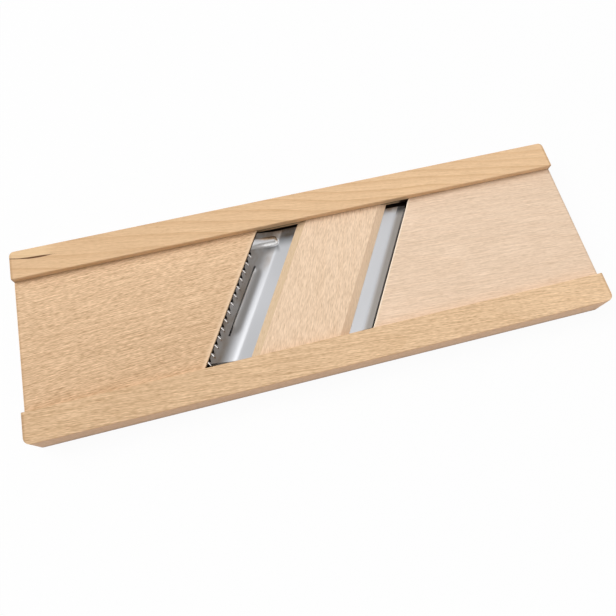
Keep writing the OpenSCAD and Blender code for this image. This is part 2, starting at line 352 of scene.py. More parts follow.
def growth_rings(tree, place, width, strength):
    wander = calc(tree, "MULTIPLY_ADD", noise(tree, place, WANDER_SIZES), WANDER, -WANDER * NOISE_MEAN)
    spot = axes_of(tree, place)
    across = calc(tree, "ADD", spot["Y"], wander)
    radius = hypotenuse(tree, across, calc(tree, "SUBTRACT", spot["Z"], HEART_DEPTH))
    radius = calc(tree, "MULTIPLY_ADD", spot["X"], RING_LEAN, radius)
    year = calc(tree, "FRACT", calc(tree, "DIVIDE", radius, width))
    late = product(tree, calc(tree, "POWER", year, RING_POWER), noise(tree, place, TONE_SIZES))
    return calc(tree, "MULTIPLY", late, strength, clamp=True)


def ray_flecks(tree, place):
    inputs = {"Vector": scaled(tree, place, FLECK_SIZES), "Scale": 1.0}
    cells = put(tree, "ShaderNodeTexVoronoi", inputs)
    core = ease(tree, cells["Distance"], FLECK_CORE, FLECK_RIM, 1.0, 0.0)
    lot = put(tree, "ShaderNodeSeparateColor", {0: cells["Color"]})[0]
    return product(tree, core, ease(tree, lot, FLECK_SHARE, 1.0))


def fine_lines(tree, place, sizes, detail):
    aside = put(tree, "ShaderNodeVectorMath", {0: place, 1: (0, LINE_STEP, LINE_STEP)}, operation="ADD")[0]
    first, second = noise(tree, place, sizes, detail), noise(tree, aside, sizes, detail)
    centred = calc(tree, "SUBTRACT", first, NOISE_MEAN * (1 - LINE_SHARE))
    return calc(tree, "MULTIPLY_ADD", second, -LINE_SHARE, centred)


print("flecks up to", FLECK_SIZES[0], "mm long, rings about a heart", -HEART_DEPTH, "mm down")

# %% [markdown]
# ## One group for all the beech
# Five pieces share these marks, so they go into one node group with named inputs, and each piece brings its own
# tones and strengths. Sawn ends drink in dirt and look darker: a face that points along the grain is end grain.
# The wood within two millimetres of both ends of the cutter is darkened as well. A slow drift lets one end of a
# plank be paler than the other.

# %% Beech group
FLOAT, COLOUR, VECTOR = "NodeSocketFloat", "NodeSocketColor", "NodeSocketVector"
FIBRE_SIZES, FIBRE_DETAIL = (26.0, 0.62, 0.62), 3.0
STROKE_SIZES, STROKE_DETAIL = (4.4, 0.60, 0.60), 1.0
TONE_DETAIL, TONE_STRENGTH = 1.0, 0.12
SHADE_DEPTH = (0.85, 1.0, 1.22)
WOOD_ROUGH, FIBRE_ROUGH, FLECK_ROUGH = 0.53, 0.14, 0.12
END_FACING = (0.55, 0.90)
END_RIM = (CAD_BOX[1].x - 2.0 * MM, CAD_BOX[1].x - 0.8 * MM, 0.0, 0.45)
BEECH_INPUTS = {
    "Place": VECTOR, "Grain": VECTOR, "Drift": VECTOR,
    "Pale": COLOUR, "Ring": COLOUR, "Fleck": COLOUR, "End Shade": COLOUR,
    "Ring Width": FLOAT, "Ring Strength": FLOAT, "Fleck Strength": FLOAT,
    "Fibre Strength": FLOAT, "Stroke Strength": FLOAT,
}


def new_group(name, inputs, outputs):
    group = bpy.data.node_groups.new(name, "ShaderNodeTree")
    for label, kind in inputs.items():
        group.interface.new_socket(label, in_out="INPUT", socket_type=kind)
    for label in outputs:
        kind = COLOUR if label == "Color" else FLOAT
        group.interface.new_socket(label, in_out="OUTPUT", socket_type=kind)
    return group, group.nodes.new("NodeGroupInput").outputs, group.nodes.new("NodeGroupOutput").inputs


def facing(tree, axis):
    return dot(tree, put(tree, "ShaderNodeNewGeometry")["Normal"], axis)


def ends_darker(tree, grain):
    end = ease(tree, calc(tree, "ABSOLUTE", facing(tree, grain)), *END_FACING)
    out = calc(tree, "ABSOLUTE", axes_of(tree, spot_of(tree))["X"])
    return largest(tree, end, ease(tree, out, *END_RIM))


def beech_figure():
    group, given, result = new_group("beech_figure", BEECH_INPUTS, ("Color", "Roughness", "Height"))
    place = given["Place"]
    rings = growth_rings(group, place, given["Ring Width"], given["Ring Strength"])
    flecks = ray_flecks(group, place)
    fibre = fine_lines(group, place, FIBRE_SIZES, FIBRE_DETAIL)
    stroke = fine_lines(group, place, STROKE_SIZES, STROKE_DETAIL)
    tone = calc(group, "SUBTRACT", noise(group, place, TONE_SIZES, TONE_DETAIL), NOISE_MEAN)
    shade = dot(group, spot_of(group), given["Drift"])
    shade = calc(group, "MULTIPLY_ADD", fibre, given["Fibre Strength"], shade)
    shade = calc(group, "MULTIPLY_ADD", stroke, given["Stroke Strength"], shade)
    shade = calc(group, "MULTIPLY_ADD", tone, TONE_STRENGTH, shade)
    depths = {i: calc(group, "MULTIPLY_ADD", shade, depth, 1.0) for i, depth in enumerate(SHADE_DEPTH)}
    shaded = put(group, "ShaderNodeCombineColor", depths)[0]
    colour = blend_colour(group, rings, given["Pale"], given["Ring"])
    colour = blend_colour(group, product(group, flecks, given["Fleck Strength"]), colour, given["Fleck"])
    colour = blend_colour(group, 1.0, colour, shaded, "MULTIPLY")
    colour = blend_colour(group, ends_darker(group, given["Grain"]), colour, given["End Shade"], "MULTIPLY")
    feed(group, result["Color"], colour)
    rough = calc(group, "MULTIPLY_ADD", fibre, FIBRE_ROUGH, WOOD_ROUGH)
    feed(group, result["Roughness"], calc(group, "MULTIPLY_ADD", flecks, FLECK_ROUGH, rough))
    feed(group, result["Height"], calc(group, "SUBTRACT", fibre, flecks))
    return group


beech_group = beech_figure()
print("beech group:", len(beech_group.nodes), "nodes")

# %% [markdown]
# ## Worn edges
# Hands and cabbages rub the arrises of a board paler than its faces. Painting them by hand would tie the wear to
# one view. The Bevel node answers with the normal that a rounded edge would have, and how far that leans from the
# true normal says how near an edge is. A slow noise makes the wear patchy, and all the wood uses this group.

# %% Worn edge group
WEAR_REACH, WEAR_SAMPLES = 1.0 * MM, 6
WEAR_LEAN = (0.01, 0.22)
WEAR_PATCH = 9 * MM


def worn_edge():
    group, given, result = new_group("worn_edge", {"Patchiness": FLOAT}, ("Mask",))
    rounded = put(group, "ShaderNodeBevel", {"Radius": WEAR_REACH}, samples=WEAR_SAMPLES)[0]
    lean = ease(group, calc(group, "SUBTRACT", 1.0, facing(group, rounded)), *WEAR_LEAN)
    gaps = calc(group, "SUBTRACT", noise(group, spot_of(group), [WEAR_PATCH] * 3), 1.0)
    patches = calc(group, "MULTIPLY_ADD", gaps, given["Patchiness"], 1.0)
    feed(group, result["Mask"], calc(group, "MULTIPLY", lean, patches, clamp=True))
    return group


wear_group = worn_edge()
print("worn edge group:", len(wear_group.nodes), "nodes")

# %% [markdown]
# ## Five pieces of wood
# No two pieces of the cutter came from the same plank: the left board is the most freckled, the middle one is
# pale with its grain along the blades, the right one is the palest, and the rails are more golden. The grain is
# never quite parallel to an edge, and on the far rail it runs out in long slanting lines. Five separate materials
# drawn by hand would drift apart, so each plank is a short list of tones, a turn and a few strengths.

# %% Planks
RAIL_END, BOARD_END = (0.58, 0.49, 0.41), (0.74, 0.67, 0.60)
WOODS = {
    "near_rail": {
        "pale": (0.745, 0.51, 0.303), "ring": (0.66, 0.42, 0.22), "fleck": (0.47, 0.28, 0.14),
        "shade": RAIL_END, "turn": -5.5, "start": (40.0, 60.0, 5.0), "drift": (0.65, 0, 0),
        "width": 3.2, "rings": 0.4, "flecks": 0.4, "fibres": 0.9, "strokes": 0.75},
    "far_rail": {
        "pale": (0.793, 0.534, 0.309), "ring": (0.62, 0.37, 0.18), "fleck": (0.50, 0.30, 0.15),
        "shade": RAIL_END, "turn": -8.5, "start": (310.0, 20.0, 9.0), "drift": (0.4, 0, 0),
        "width": 7.0, "rings": 1.1, "flecks": 0.2, "fibres": 0.42, "strokes": 0.25},
    "left_board": {
        "pale": (0.745, 0.508, 0.307), "ring": (0.60, 0.37, 0.20), "fleck": (0.44, 0.26, 0.13),
        "shade": BOARD_END, "turn": 3.0, "start": (0.0, 21.0, 2.0), "drift": (0.3, 1.4, 0),
        "width": 5.5, "rings": 0.45, "flecks": 0.45, "fibres": 1.1, "strokes": 1.0},
    "middle_board": {
        "pale": (0.838, 0.624, 0.436), "ring": (0.78, 0.54, 0.34), "fleck": (0.60, 0.39, 0.23),
        "shade": BOARD_END, "turn": 66.0, "start": (90.0, -14.0, 3.0), "drift": (0, 0.5, 0),
        "width": 6.0, "rings": 0.3, "flecks": 0.4, "fibres": 0.30, "strokes": 0.7},
    "right_board": {
        "pale": (0.838, 0.636, 0.464), "ring": (0.78, 0.55, 0.37), "fleck": (0.64, 0.44, 0.29),
        "shade": BOARD_END, "turn": -3.5, "start": (-150.0, 8.0, 7.0), "drift": (0, 0, 0),
        "width": 4.0, "rings": 0.4, "flecks": 0.3, "fibres": 0.62, "strokes": 0.4},
}
for node, wood in WOODS.items():
    print("%-13s grain turned %5.1f degrees" % (node, wood["turn"]))

# %% [markdown]
# ## The wood on the solids
# One function makes a material from a plank's values: the beech group for the figure, the worn edge group for the
# paler arrises, and a shallow bump for the fibres. Displacing the surface would be too much for marks a tenth of
# a millimetre deep. Plain beech has only a dull shine. The frame's own solids take the materials.

# %% Wood materials
EDGE_PALE, EDGE_LIGHT, EDGE_PATCHES = 0.15, 1.12, 0.8
WOOD_BUMP, BUMP_DEPTH = 0.20, 0.12 * MM
WOOD_SHINE = 0.35


def grain_place(tree, turn=0.0, start=(0, 0, 0)):
    rotation = (0, 0, math.radians(-turn))
    inputs = {"Vector": spot_of(tree), "Location": start, "Rotation": rotation, "Scale": [1 / MM] * 3}
    return put(tree, "ShaderNodeMapping", inputs)[0]


def opaque(colour):
    return (*colour, 1.0)


def beech(name, pale, ring, fleck, shade, turn, start, drift, width, rings, flecks, fibres, strokes):
    material, tree = new_material(name + "_beech")
    grain = (math.cos(math.radians(turn)), math.sin(math.radians(turn)), 0.0)
    values = {
        "Place": grain_place(tree, turn, start), "Grain": grain, "Drift": drift,
        "Pale": opaque(pale), "Ring": opaque(ring), "Fleck": opaque(fleck), "End Shade": opaque(shade),
        "Ring Width": width, "Ring Strength": rings, "Fleck Strength": flecks,
        "Fibre Strength": fibres, "Stroke Strength": strokes}
    figure = put(tree, "ShaderNodeGroup", values, node_tree=beech_group)
    wear = put(tree, "ShaderNodeGroup", {"Patchiness": EDGE_PATCHES}, node_tree=wear_group)["Mask"]
    worn = opaque([min(1.0, EDGE_LIGHT * part) for part in pale])
    colour = blend_colour(tree, product(tree, wear, EDGE_PALE), figure["Color"], worn)
    relief = {"Strength": WOOD_BUMP, "Distance": BUMP_DEPTH, "Height": figure["Height"]}
    looks = {"Base Color": colour, "Roughness": figure["Roughness"], "Specular IOR Level": WOOD_SHINE,
             "Normal": put(tree, "ShaderNodeBump", relief)[0]}
    put(tree, "ShaderNodeOutputMaterial", {"Surface": put(tree, "ShaderNodeBsdfPrincipled", looks)[0]})
    return material


def dress(node, material):
    mesh = nodes[node].data
    mesh.materials.clear()
    mesh.materials.append(material)


for node, wood in WOODS.items():
    dress(node, beech(node, **wood))
print("dressed in beech:", ", ".join(WOODS))

# %% [markdown]
# ## Painted shade on the rails
# Inside the throats the rails are painted dark as shade: a dark line just below the tops of the boards, the
# wall further down, and a black corner beside the plain blade. The outer sides are painted darker as shade, and
# darker still towards the foot. A painted picture would be quick for one view, but masks worked out from the
# place on the part and the way a face looks hold from every side. Both rails share them as one group, and each
# mark is laid over the wood's own colour.

# %% Painted shade on the rails
UP = (0, 0, 1)
DECK_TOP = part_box("left_board")[1].z
SIDE_FACING = (0.5, 0.8)
JOINT_BELOW, JOINT_LINE = 0.5 * MM, (0.3 * MM, 1.0 * MM, 0.75, 0.0)
WALL_BELOW, WALL_FADE = 3.4 * MM, 0.5 * MM
CORNER, DECK_FADE = (0.084, 0.088), 0.3 * MM
FOOT_SHADE_FADE = (0.0, 6.0 * MM, 0.55, 0.0)
SIDE_SHADE_SHARE = 0.5
# Near-black painted shade for the faces inside the throats and the gaps beside the blades.
GAP_SHADE = (0.035, 0.022, 0.012, 1)
RAIL_PAINTED_SHADES = {"Gap Shade": GAP_SHADE, "Side Shade": (0.68, 0.36, 0.185, 1), "Foot Shade": (0.20, 0.13, 0.08, 1)}
RAIL_INWARD = {"near_rail": (0, 1, 0), "far_rail": (0, -1, 0)}


def lay_over(material, mask, colour):
    tree = material.node_tree
    skin = next(node for node in tree.nodes if node.type == "BSDF_PRINCIPLED")
    below = skin.inputs["Base Color"].links[0].from_socket
    feed(tree, skin.inputs["Base Color"], blend_colour(tree, mask, below, colour))


# Painted shade, all three masks: faces below the boards' tops in the throats, the outer sides, and their feet.
def rail_painted_shade():
    group, given, result = new_group("rail_painted_shade", {"Inward": VECTOR}, RAIL_PAINTED_SHADES)
    spot = axes_of(group, spot_of(group))
    inward, height = facing(group, given["Inward"]), spot["Z"]
    from_joint = calc(group, "ABSOLUTE", calc(group, "SUBTRACT", height, DECK_TOP - JOINT_BELOW))
    deep = ease(group, height, DECK_TOP - WALL_BELOW, DECK_TOP - WALL_BELOW + WALL_FADE, 1.0, 0.0)
    low = ease(group, height, DECK_TOP - DECK_FADE, DECK_TOP, 1.0, 0.0)
    corner = product(group, ease(group, spot["X"], *CORNER), low)
    in_gaps = largest(group, ease(group, from_joint, *JOINT_LINE), deep, corner)
    below = ease(group, height, DECK_TOP, DECK_TOP + DECK_FADE, 1.0, 0.0)
    inside = ease(group, largest(group, inward, facing(group, UP)), *SIDE_FACING)
    outside = ease(group, product(group, inward, -1.0), *SIDE_FACING)
    feed(group, result["Gap Shade"], product(group, in_gaps, below, inside))
    feed(group, result["Side Shade"], product(group, outside, SIDE_SHADE_SHARE))
    feed(group, result["Foot Shade"], product(group, ease(group, height, *FOOT_SHADE_FADE), outside))
    return group


rail_group = rail_painted_shade()
for node, inward in RAIL_INWARD.items():
    wood = nodes[node].data.materials[0]
    marks = put(wood.node_tree, "ShaderNodeGroup", {"Inward": inward}, node_tree=rail_group)
    for mark, colour in RAIL_PAINTED_SHADES.items():
        lay_over(wood, marks[mark], colour)
print("on both rails:", ", ".join(RAIL_PAINTED_SHADES).lower())

# %% [markdown]
# ## Marks on the boards
# Below their tops the slanted edges of the boards are painted black as shade, in the gaps beside the blades.
# Sliding cabbages have rubbed the left board pale beside its throat, and the right board has a narrow painted
# highlight along its edge. Both are masks again, measured in millimetres across the slant of the throats. The
# two bevels of the middle board lean opposite ways and are painted in light and shade, one darker and one
# lighter. The lean of a face is enough to find them.

# %% Board marks
SLANT = 31.0
sine, cosine = math.sin(math.radians(SLANT)), math.cos(math.radians(SLANT))
# How far below the tops the slanted edges are painted black as shade.
GAP_SHADE_DEPTH = 0.6 * MM
TOP_FACING = (0.3, 0.6)
# Bands beside the throats: rubbed paler on the left board, a painted highlight on the right board.
WEAR_AND_HIGHLIGHT = {
    "left_board": {"side": 1, "start": -4.0, "full": 0.0, "colour": (0.88, 0.64, 0.42, 1)},
    "right_board": {"side": -1, "start": 1.8, "full": 0.2, "colour": (0.98, 0.82, 0.64, 1)},
}
# Painted light and shade on the middle board's bevels: one is darkened, the other lightened.
BEVEL_LIGHT_AND_SHADE = (
    {"side": -1, "amount": 0.6, "colour": (0.49, 0.356, 0.206, 1)},
    {"side": 1, "amount": 0.45, "colour": (0.97, 0.70, 0.47, 1)},
)
BEVEL_LEAN = (0.10, 0.25)


def across_of(corner):
    return (corner.x * cosine - corner.y * sine) / MM


def slanted(side):
    return (side * cosine, -side * sine, 0.0)


def on_top(tree):
    return ease(tree, facing(tree, UP), *TOP_FACING)


def board_marks():
    inputs = {"Edge Side": VECTOR, "Band Start": FLOAT, "Band Full": FLOAT}
    group, given, result = new_group("board_marks", inputs, ("Gap Shade", "Wear And Highlight"))
    height = axes_of(group, spot_of(group))["Z"]
    low = ease(group, height, DECK_TOP - GAP_SHADE_DEPTH, DECK_TOP, 1.0, 0.0)
    side = ease(group, facing(group, given["Edge Side"]), *SIDE_FACING)
    across = axes_of(group, grain_place(group, -SLANT))["X"]
    near = ease(group, across, given["Band Start"], given["Band Full"])
    feed(group, result["Gap Shade"], product(group, low, side))
    feed(group, result["Wear And Highlight"], product(group, near, on_top(group)))
    return group


board_group = board_marks()
throat_half = abs(across_of(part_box("left_board")[1]))
for node, band in WEAR_AND_HIGHLIGHT.items():
    wood, edge = nodes[node].data.materials[0], -band["side"] * throat_half
    inputs = {"Edge Side": slanted(band["side"]),
              "Band Start": edge + band["start"], "Band Full": edge + band["full"]}
    marks = put(wood.node_tree, "ShaderNodeGroup", inputs, node_tree=board_group)
    lay_over(wood, marks["Gap Shade"], GAP_SHADE)
    lay_over(wood, marks["Wear And Highlight"], band["colour"])
wood = nodes["middle_board"].data.materials[0]
for bevel in BEVEL_LIGHT_AND_SHADE:
    lean = facing(wood.node_tree, slanted(bevel["side"]))
    lay_over(wood, ease(wood.node_tree, lean, *BEVEL_LEAN, 0.0, bevel["amount"]), bevel["colour"])
print("throat edges %.1f mm from the middle, %d lit_and_shaded bevels" % (throat_half, len(BEVEL_LIGHT_AND_SHADE)))

# %% [markdown]
# ## A split
# The far rail has split at its left end, where the wood dried too fast: a dark line that starts at the end,
# follows the grain and bends away, with a paler sliver beside it on the top. It could be cut into the solid, but
# it has hardly any width, so a colour does. The line is a curve across the rail, and the distance from it,
# against a width that swells and tapers, gives the mask.

# %% Split in the far rail
SPLIT_DARK, SPLIT_PALE, SLIVER_SHARE = (0.11, 0.042, 0.010, 1), (0.86, 0.62, 0.36, 1), 0.5
SPLIT_END, SPLIT_BEND = -186.0, -190.0
SPLIT_LINE, SPLIT_SWING = 64.6, 3.3
SPLIT_WOBBLE, WOBBLE_SIZES = 0.9, (9.0, 60.0, 60.0)
SPLIT_HALF, SPLIT_HAIR = 0.8, 0.001
SPLIT_MOUTH, SPLIT_TAPER = (-214.0, -203.0, 0.45, 1.0), (-198.0, SPLIT_END, 1.0, 0.0)
SPLIT_SOFT = (0.6, 1.2, 1.0, 0.0)
SLIVER_TAPER = (-196.0, SPLIT_END, 1.0, 0.0)


def split_masks(tree):
    place = grain_place(tree)
    spot = axes_of(tree, place)
    past = calc(tree, "MAXIMUM", calc(tree, "SUBTRACT", SPLIT_BEND, spot["X"]), 0.0)
    share = calc(tree, "DIVIDE", past, CAD_BOX[1].x / MM + SPLIT_BEND)
    line = calc(tree, "MULTIPLY_ADD", product(tree, share, share), SPLIT_SWING, SPLIT_LINE)
    wobble = calc(tree, "SUBTRACT", noise(tree, place, WOBBLE_SIZES), NOISE_MEAN)
    line = calc(tree, "MULTIPLY_ADD", wobble, SPLIT_WOBBLE, line)
    aside = calc(tree, "SUBTRACT", spot["Y"], line)
    swell = product(tree, ease(tree, spot["X"], *SPLIT_MOUTH), ease(tree, spot["X"], *SPLIT_TAPER))
    half = calc(tree, "MULTIPLY_ADD", swell, SPLIT_HALF, SPLIT_HAIR)
    gap = ease(tree, calc(tree, "DIVIDE", calc(tree, "ABSOLUTE", aside), half), *SPLIT_SOFT)
    beyond = calc(tree, "GREATER_THAN", aside, 0.0)
    sliver = product(tree, beyond, ease(tree, spot["X"], *SLIVER_TAPER), on_top(tree), SLIVER_SHARE)
    return gap, sliver


wood = nodes["far_rail"].data.materials[0]
gap, sliver = split_masks(wood.node_tree)
lay_over(wood, sliver, SPLIT_PALE)
lay_over(wood, gap, SPLIT_DARK)
print("split: %.0f mm long" % (CAD_BOX[1].x / MM + SPLIT_END))

# %% [markdown]
# ## Steel
# Both blades are stainless sheet with a fine satin brush along their length, so they mirror the sky as a broad
# sheen and not as a picture. A scratched photograph of steel would be too coarse. Long thin noise gives the brush
# lines, and a slower one the clouding that handling leaves. A brown tint follows those clouds: stain, and on the
# blades near the far rail also painted shade and reflection of the rail. A blend towards black dims the shine,
# as painted shade near the far rail and below the bead, and a little towards the near ends.

# %% Steel group
BLACK = (0, 0, 0, 1)
BRUSH_SIZES, CLOUD_SIZES, STEEL_DETAIL = (22.0, 0.16, 0.16), (16.0, 9.0, 9.0), 3.0
# A brown tint for stain, which on the blades also carries painted shade and reflection of the far rail.
STEEL, STAIN_AND_SHADE_COLOUR, TINT_SOFT = (0.66, 0.665, 0.675, 1), (0.40, 0.32, 0.25, 1), (0.15, 0.60)
STEEL_ROUGH, BRUSH_ROUGH, CLOUD_ROUGH = 0.24, 0.12, 0.06


def satin_steel():
    inputs = {"Place": VECTOR, "Stain And Shade": FLOAT, "Darkening": FLOAT}
    group, given, result = new_group("satin_steel", inputs, ("Color", "Roughness", "Height"))
    brush = noise(group, given["Place"], BRUSH_SIZES, STEEL_DETAIL)
    cloud = noise(group, given["Place"], CLOUD_SIZES, STEEL_DETAIL)
    tint = ease(group, product(group, given["Stain And Shade"], cloud), *TINT_SOFT)
    colour = blend_colour(group, tint, STEEL, STAIN_AND_SHADE_COLOUR)
    feed(group, result["Color"], blend_colour(group, given["Darkening"], colour, BLACK))
    rough = calc(group, "MULTIPLY_ADD", brush, BRUSH_ROUGH, STEEL_ROUGH)
    feed(group, result["Roughness"], calc(group, "MULTIPLY_ADD", cloud, CLOUD_ROUGH, rough))
    feed(group, result["Height"], brush)
    return group


steel_group = satin_steel()
print("steel group:", len(steel_group.nodes), "nodes")

# %% [markdown]
# ## Steel on the pieces
# One function dresses every piece of steel. Stain and darkening can be plain amounts, as on the brads and pins,
# which are stained all over. They can also be functions that draw a mask from two sets of axes in millimetres:
# first those of the blades, with X along them and Y across, then those of the whole cutter. Polish and a ground
# edge come last, where a blade has them.

# %% Steel materials
POLISHED = (0.97, 0.97, 0.97, 1)
BRUSH_BUMP, BRUSH_DEPTH = 0.08, 0.02 * MM
FIXINGS = ("near_rail_brads", "far_rail_brads", "plain_blade_pins", "toothed_blade_pins")


def blade_steel(name, stain_and_shade=0.0, darkening=0.0, matt=0.0, polish=None, ground=None):
    material, tree = new_material(name)
    place = grain_place(tree, 90 - SLANT)
    where = axes_of(tree, place), axes_of(tree, grain_place(tree))
    values = {"Place": place}
    for label, amount in (("Stain And Shade", stain_and_shade), ("Darkening", darkening)):
        values[label] = amount(tree, *where) if callable(amount) else amount
    finish = put(tree, "ShaderNodeGroup", values, node_tree=steel_group)
    colour, rough = finish["Color"], calc(tree, "ADD", finish["Roughness"], matt)
    if polish is not None:
        colour = blend_colour(tree, polish(tree, *where), colour, POLISHED)
    if ground is not None:
        colour, rough = ground(tree, *where, colour, rough)
    relief = {"Strength": BRUSH_BUMP, "Distance": BRUSH_DEPTH, "Height": finish["Height"]}
    looks = {"Base Color": colour, "Metallic": 1.0, "Roughness": rough,
             "Normal": put(tree, "ShaderNodeBump", relief)[0]}
    put(tree, "ShaderNodeOutputMaterial", {"Surface": put(tree, "ShaderNodeBsdfPrincipled", looks)[0]})
    return material


dress("toothed_blade", blade_steel("toothed_blade_steel"))
for node in FIXINGS:
    dress(node, blade_steel(node + "_steel", stain_and_shade=1.0))
print("dressed in stained steel:", ", ".join(FIXINGS))

# %% [markdown]
# ## The plain blade
# A grindstone leaves the cutting edge of the plain blade duller and browner than its satin flat. Near the far
# rail the blade is painted browner and darker as shade and a reflection of the rail, and it darkens a little
# towards its near end. A painted shade darkens the flat just before the ground strip, as on a rounded crease,
# and the strip darkens towards the edge, partly its ground finish and partly a painted reflection. Modelled
# scratches would be too fine to see. The ground strip is a plane of its own in the solid, so its colour and
# roughness only have to begin at the same line.

# %% Dress the plain blade
# Painted shade and reflection: before the crease, near the far rail, and partly across the ground strip.
GROUND_FROM, GROUND_FADE, CREASE_SHADE = 47.9, 2.4, 0.12
GROUND_TOP, GROUND_EDGE, GROUND_ROUGH = (0.64, 0.62, 0.60, 1), (0.46, 0.425, 0.385, 1), 0.40
GROUND_FAR_SHADE = (36.5, 43.5, 0.0, 0.85)
LENGTH_DARKENING = (-30.0, 70.0, 0.14, 0.0)
FAR_RAIL_REFLECTION, FAR_RAIL_SHADE = (70.0, 82.0), (39.6, 47.6, 0.0, 0.5)
PLAIN_MATT = 0.08


def plain_rail_shade(tree, blade, part):
    return ease(tree, blade["X"], *FAR_RAIL_REFLECTION)


def plain_darkening(tree, blade, part):
    return largest(tree, ease(tree, blade["X"], *LENGTH_DARKENING), ease(tree, part["Y"], *FAR_RAIL_SHADE))


def ground_edge(tree, blade, part, colour, rough):
    past = calc(tree, "MULTIPLY_ADD", blade["Y"], -1.0, -GROUND_FROM)
    ground = calc(tree, "GREATER_THAN", past, 0.0)
    colour = blend_colour(tree, ease(tree, past, -GROUND_FADE, 0.0, 0.0, CREASE_SHADE), colour, BLACK)
    strip = blend_colour(tree, ease(tree, past, 0.0, GROUND_FADE), GROUND_TOP, GROUND_EDGE)
    strip = blend_colour(tree, ease(tree, part["Y"], *GROUND_FAR_SHADE), strip, BLACK)
    colour = blend_colour(tree, ground, colour, strip)
    return colour, largest(tree, rough, product(tree, ground, GROUND_ROUGH))


dress("plain_blade", blade_steel("plain_blade_steel", plain_rail_shade, plain_darkening, PLAIN_MATT, ground=ground_edge))
print("plain blade: ground strip begins", GROUND_FROM, "mm across")

# %% [markdown]
# ## The toothed blade
# This is one sheet of steel, pressed and cut: a flat strip in the middle board's kerf, a crease, a hollow curve
# that climbs to the toothed edge, a shredding slot with a lip pushed up beside it, and a bead that stiffens the
# far end. The frame's solid has these in plain steps. A press leaves no steps, so the sheet is drawn again as a
# height over a fine grid, from the same sizes in millimetres. Heights are measured from the tops of the boards,
# and distances run out from the bevel's foot to the edge.

# %% Outline of the pressed sheet
SHEET, KERF = 0.8, 11.0
TOOTHED_GAP, REACH = 0.8, 27.7
STRIP, SLOT, SLOT_LENGTH = 6.5, 1.4, 59.5
FAR_GAP, NEAR_GAP, NEAR_TRIM = 2.5, 1.2, 5.0


def along_at(across, y):
    return (y + across * sine) / cosine


def far_end(out):
    return along_at(FOOT - out, FAR_Y)


def near_end(out):
    across = FOOT - out
    lean = math.tan(math.radians(NEAR_TRIM))
    slope = cosine + sine * lean
    return (NEAR_Y + across * sine + (TRIM_X - across * cosine) * lean) / slope


left_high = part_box("left_board")[1]
DECK = left_high.z / MM
EDGE = across_of(left_high) + TOOTHED_GAP
FOOT = EDGE + REACH
INNER = -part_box("near_rail")[1].y / MM
FAR_Y, NEAR_Y = INNER - FAR_GAP, NEAR_GAP - INNER
TRIM_X = (FOOT + NEAR_Y * sine) / cosine
EDGE_FAR, EDGE_NEAR = far_end(REACH), near_end(REACH)
SLOT_MID = along_at(EDGE, 0.0)
SLOT_FAR = REACH - STRIP
SLOT_NEAR = SLOT_FAR - SLOT
print("sheet reaches %.1f mm, edge from %.1f to %.1f mm" % (REACH, EDGE_NEAR, EDGE_FAR))

# %% [markdown]
# ## Curve, lip and bead
# Three heights add up to the pressed sheet. The curve is a parabola that joins the dipping strip to the ramp
# without a kink. The lip swells beside the slot and fades towards its ends. The bead is a rounded ridge that lies
# along the rails, steeper on its near side, and it ends short of the crease. Sculpting could draw all three, but
# formulas keep to the frame's sizes.

# %% Heights of the pressed sheet
DROP, RISE = 2.5, 0.4
FLANGE, CURVE, DIP = 9.0, 10.0, 0.16
SLOPE = (DROP + RISE + DIP * CURVE / 2) / (REACH - FLANGE - CURVE / 2)
LIP_START, LIP_RISE, LIP_NEAR_EASE, LIP_FAR_EASE = FLANGE + CURVE / 3, 1.6, 10.0, 6.0
SLOT_SLACK = 0.01
BEAD_TOP, BEAD_FALL, BEAD_START, BEAD_SHORT = 0.6, 0.10, 10.2, 4.6
BEAD_HALF, BEAD_SOFT, BEAD_ROUND = 3.0, 0.62, 1.2
BEAD_RUN = (REACH - FLANGE) / cosine - BEAD_SHORT


def smooth(value, low, high):
    t = min(1.0, max(0.0, (value - low) / (high - low)))
    return t * t * (3 - 2 * t)


def pressed_height(out):
    t = min(max(out - FLANGE, 0.0), CURVE)
    climb = max(out - FLANGE - CURVE, 0.0) * SLOPE
    return -DROP - DIP * t + (SLOPE + DIP) * t * t / (2 * CURVE) + climb


def lip_height(out, along):
    if out > SLOT_NEAR + SLOT_SLACK:
        return 0.0
    t = max(0.0, (min(out, SLOT_NEAR) - LIP_START) / (SLOT_NEAR - LIP_START))
    near, far = SLOT_MID - SLOT_LENGTH / 2, SLOT_MID + SLOT_LENGTH / 2
    swell = smooth(along - near, 0.0, LIP_NEAR_EASE) * smooth(far - along, 0.0, LIP_FAR_EASE)
    return LIP_RISE * t * t * swell


def bead_height(out, along):
    from_edge, from_line = REACH - out, along - (EDGE_FAR - BEAD_START)
    past = max(0.0, from_edge * cosine + from_line * sine - BEAD_RUN)
    aside = from_line * cosine - from_edge * sine
    off = math.hypot(past, aside * (BEAD_SOFT if aside > 0 else 1.0))
    tall = RISE + BEAD_TOP - BEAD_FALL * from_edge - pressed_height(out)
    return max(0.0, tall) * max(0.0, 1 - (off / BEAD_HALF) ** 2) ** BEAD_ROUND


print("ramp climbs %.2f mm per mm, bead runs %.1f mm" % (SLOPE, BEAD_RUN))

# %% [markdown]
# ## Rows and columns
# Each tooth is a small fin that was cut free on one side and bent up, so a notch lies beside it. Cutting the
# notches with a Boolean would leave ragged faces. Here the rows and columns of the grid already lie on every
# notch, crease and slot, and are spaced finely only where the sheet bends.

# %% Teeth, rows and columns
TOOTH_PITCH, TOOTH_START, TOOTH_END = 6.9, 19.9, 0.5
NOTCH_WIDTH, NOTCH_DEPTH, NOTCH_STEP = 3.0, 2.0, 0.04
ROW_STEP, ROW_PAST = 0.6, 2.0
COLUMN_STEP, KERF_STEP, FLANGE_STEP = 0.4, 4.0, 1.6
CREASE = 0.08

